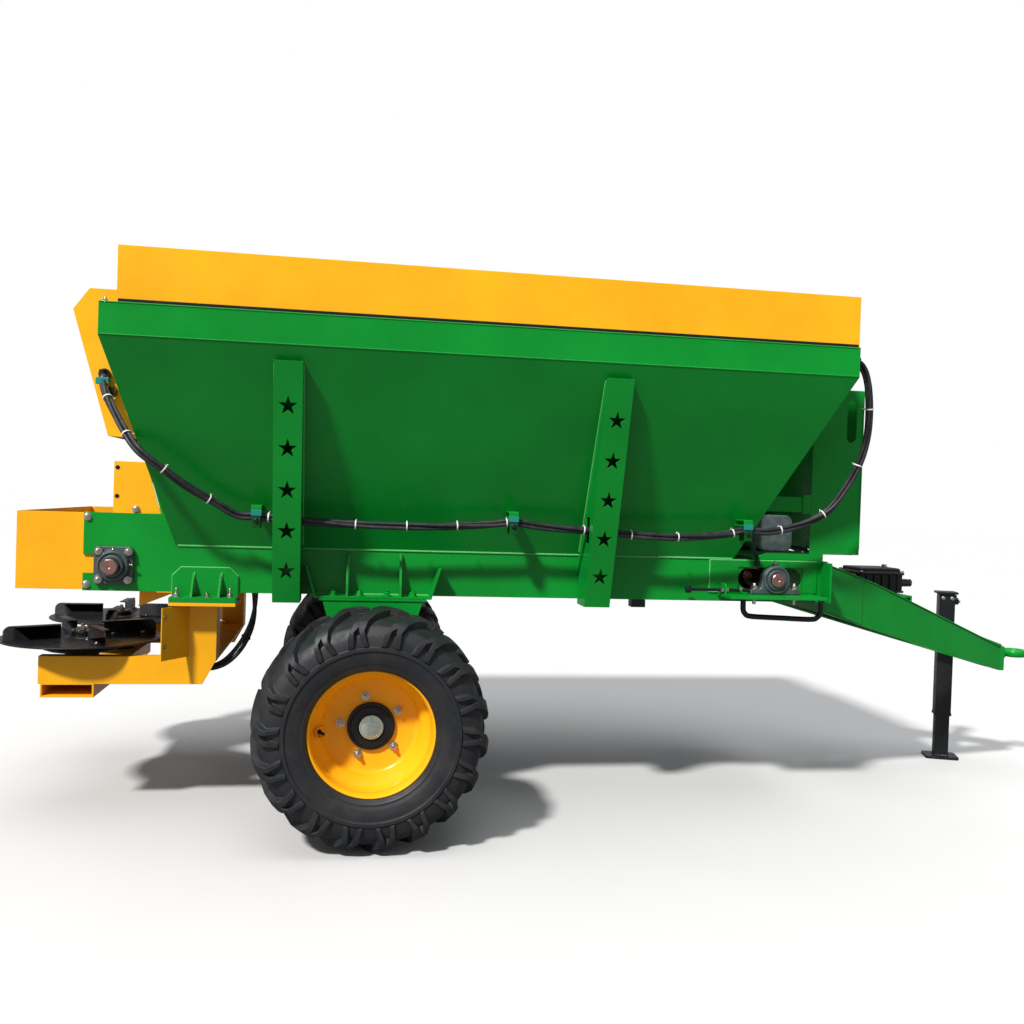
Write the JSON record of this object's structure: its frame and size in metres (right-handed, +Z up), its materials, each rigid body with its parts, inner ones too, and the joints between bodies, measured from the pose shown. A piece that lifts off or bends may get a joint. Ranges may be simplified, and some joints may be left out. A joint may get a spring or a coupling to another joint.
{
  "type": "towed manure spreader",
  "caption": "Towed orchard manure spreader: sloping hopper on a frame with a moving floor, rear lifting gate, twin spinning discs, two flotation wheels, drawbar and parking jack.",
  "frame": {"origin": "on the ground under the middle of the machine's bounding box", "axes": "+X forward to the hitch, +Y to the machine's left, +Z up"},
  "size_m": [4.3802, 1.97, 1.942],
  "materials": {
    "green": "gloss paint",
    "amber": "gloss paint",
    "black": "satin paint",
    "tyre": "matte",
    "bare_steel": "turned",
    "casting": "painted casting",
    "hose": "satin"
  },
  "bodies": {
    "chassis": {"side_plate_right": "green", "side_plate_left": "green", "hopper_side_right": "green", "hopper_side_left": "green", "post_rear_right": "green", "post_rear_left": "green", "post_front_right": "green", "post_front_left": "green", "rear_bearing_right": "casting", "rear_bearing_left": "casting", "front_bearing_right": "casting", "front_bearing_left": "casting", "outlet_cheek_right": "amber", "outlet_cheek_left": "amber", "spinner_bracket_right": "green", "spinner_bracket_left": "green", "spinner_motor_right": "black", "spinner_motor_left": "black", "axle_bracket_right": "green", "axle_bracket_left": "green", "drawbar_beam_right": "green", "drawbar_beam_left": "green", "underframe": "green", "front_plate": "green", "floor_plate": "green", "hopper_front": "green", "hopper_rear": "green", "hopper_rim": "green", "extension": "amber", "moving_floor": "black", "rear_shaft": "bare_steel", "front_shaft": "bare_steel", "gate_cylinder": "black", "gate_hood": "amber", "discharge_box": "amber", "chute": "amber", "spinner_frame": "amber", "axle": "green", "hitch": "green", "jack_tube": "black", "gearbox": "black", "gearbox_seat": "green", "front_cover": "green", "cover_strut": "green", "front_deck": "green", "oil_tank": "casting", "hose_bundle": "hose", "spinner_hose": "hose"},
    "wheel_right": {"tyre_right": "tyre", "rim_right": "amber", "hub_right": "black"},
    "disc_right": {"disc_right": "black"},
    "wheel_left": {"tyre_left": "tyre", "rim_left": "amber", "hub_left": "black"},
    "disc_left": {"disc_left": "black"},
    "gate": {"gate": "amber", "gate_rod": "bare_steel"},
    "jack_leg": {"jack_leg": "black"},
    "input_shaft": {"input_shaft": "bare_steel"}
  },
  "joints": [
    {"name": "wheel_right_turn", "type": "hinge", "parent": "chassis", "child": "wheel_right", "pos_m": [-0.85515, -0.788, 0.3935], "axis": [0, 1, 0], "continuous": true},
    {"name": "wheel_left_turn", "type": "hinge", "parent": "chassis", "child": "wheel_left", "pos_m": [-0.85515, 0.788, 0.3935], "axis": [0, 1, 0], "continuous": true},
    {"name": "disc_right_spin", "type": "hinge", "parent": "chassis", "child": "disc_right", "pos_m": [-1.90715, -0.31, 0.604], "axis": [0, 0, 1], "continuous": true},
    {"name": "disc_left_spin", "type": "hinge", "parent": "chassis", "child": "disc_left", "pos_m": [-1.90715, 0.31, 0.604], "axis": [0, 0, 1], "continuous": true},
    {"name": "gate_lift", "type": "slide", "parent": "chassis", "child": "gate", "axis": [-0.2768, 0, 0.9609], "range_m": [0, 0.24]},
    {"name": "jack_leg_slide", "type": "slide", "parent": "chassis", "child": "jack_leg", "axis": [0, 0, 1], "range_m": [0, 0.18]},
    {"name": "input_shaft_turn", "type": "hinge", "parent": "chassis", "child": "input_shaft", "pos_m": [1.53345, 0, 0.845], "axis": [1, 0, 0], "continuous": true}
  ]
}
